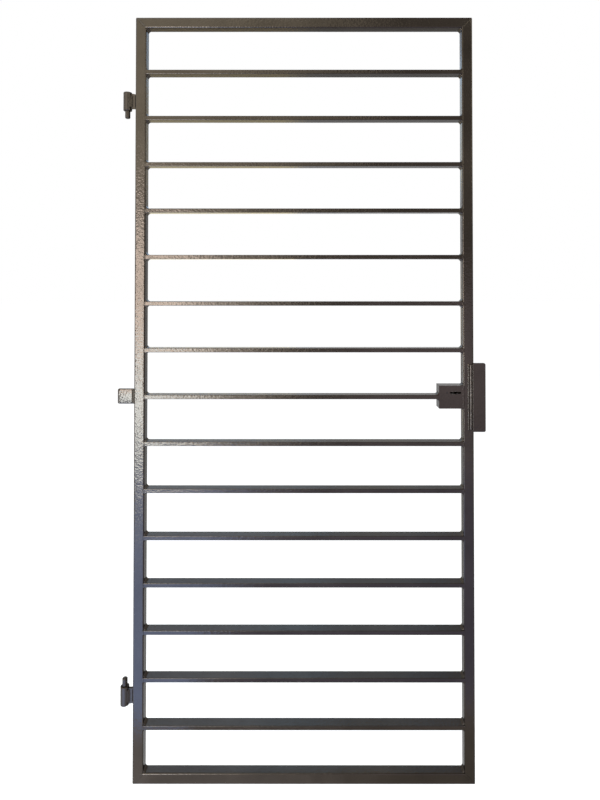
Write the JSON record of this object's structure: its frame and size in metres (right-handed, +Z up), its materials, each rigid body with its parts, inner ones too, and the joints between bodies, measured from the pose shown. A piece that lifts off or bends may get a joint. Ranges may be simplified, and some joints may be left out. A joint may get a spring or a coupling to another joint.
{
  "type": "garden gate",
  "caption": "Single-leaf steel garden gate with horizontal bars in a mitred tube frame, pin hinges, a hinge-side security tab and a key-operated lock box with a guard plate.",
  "frame": {"origin": "on the hinge axis, on the shoulder of the lower hinge barrel where its pin starts, at mid-depth of the frame tube", "axes": "+Z up along the hinge axis, +X from the hinges to the lock, -Y towards the front, where the guard plate is"},
  "size_m": [0.8685, 0.035, 1.8],
  "materials": {
    "bronze_paint": "semi-gloss dark bronze paint with a fine hammered texture",
    "plated_steel": "zinc-plated steel",
    "lever_brass": "stamped brass",
    "spring_steel": "blued spring steel"
  },
  "bodies": {
    "leaf": {"bar_01": "bronze_paint", "bar_02": "bronze_paint", "bar_03": "bronze_paint", "bar_04": "bronze_paint", "bar_05": "bronze_paint", "bar_06": "bronze_paint", "bar_07": "bronze_paint", "bar_08": "bronze_paint", "bar_09": "bronze_paint", "bar_10": "bronze_paint", "bar_11": "bronze_paint", "bar_12": "bronze_paint", "bar_13": "bronze_paint", "bar_14": "bronze_paint", "bar_15": "bronze_paint", "bar_welds_hinge_side": "bronze_paint", "bar_welds_lock_side": "bronze_paint", "bolt_guide": "plated_steel", "bottom_rail": "bronze_paint", "corner_welds": "bronze_paint", "cover_pillars": "plated_steel", "cover_screws": "plated_steel", "guard_plate": "bronze_paint", "guard_plate_weld": "bronze_paint", "hinge_stile": "bronze_paint", "lever_posts": "plated_steel", "lever_spacers": "plated_steel", "lever_spring": "spring_steel", "lock_back_cover": "bronze_paint", "lock_box_shell": "bronze_paint", "lock_box_welds": "bronze_paint", "lock_stile": "bronze_paint", "lower_hinge_barrel": "bronze_paint", "lower_hinge_pin": "bronze_paint", "lower_hinge_plate": "bronze_paint", "lower_hinge_welds": "bronze_paint", "security_tab": "bronze_paint", "security_tab_welds": "bronze_paint", "top_rail": "bronze_paint", "upper_hinge_barrel": "bronze_paint", "upper_hinge_pin": "bronze_paint", "upper_hinge_plate": "bronze_paint", "upper_hinge_welds": "bronze_paint"},
    "bolt": {"deadbolt": "plated_steel"},
    "levers": {"lever_1": "lever_brass", "lever_2": "lever_brass", "lever_3": "lever_brass"}
  },
  "joints": [
    {"name": "bolt_throw", "type": "slide", "parent": "leaf", "child": "bolt", "axis": [1, 0, 0], "range_m": [0, 0.018]},
    {"name": "lever_drop", "type": "slide", "parent": "leaf", "child": "levers", "axis": [0, 0, -1], "range_m": [0, 0.004], "deforming": ["lever_spring"]}
  ],
  "couplings": [
    {"joint": "lever_drop", "follows": "bolt_throw", "ratio": 0.22222}
  ]
}
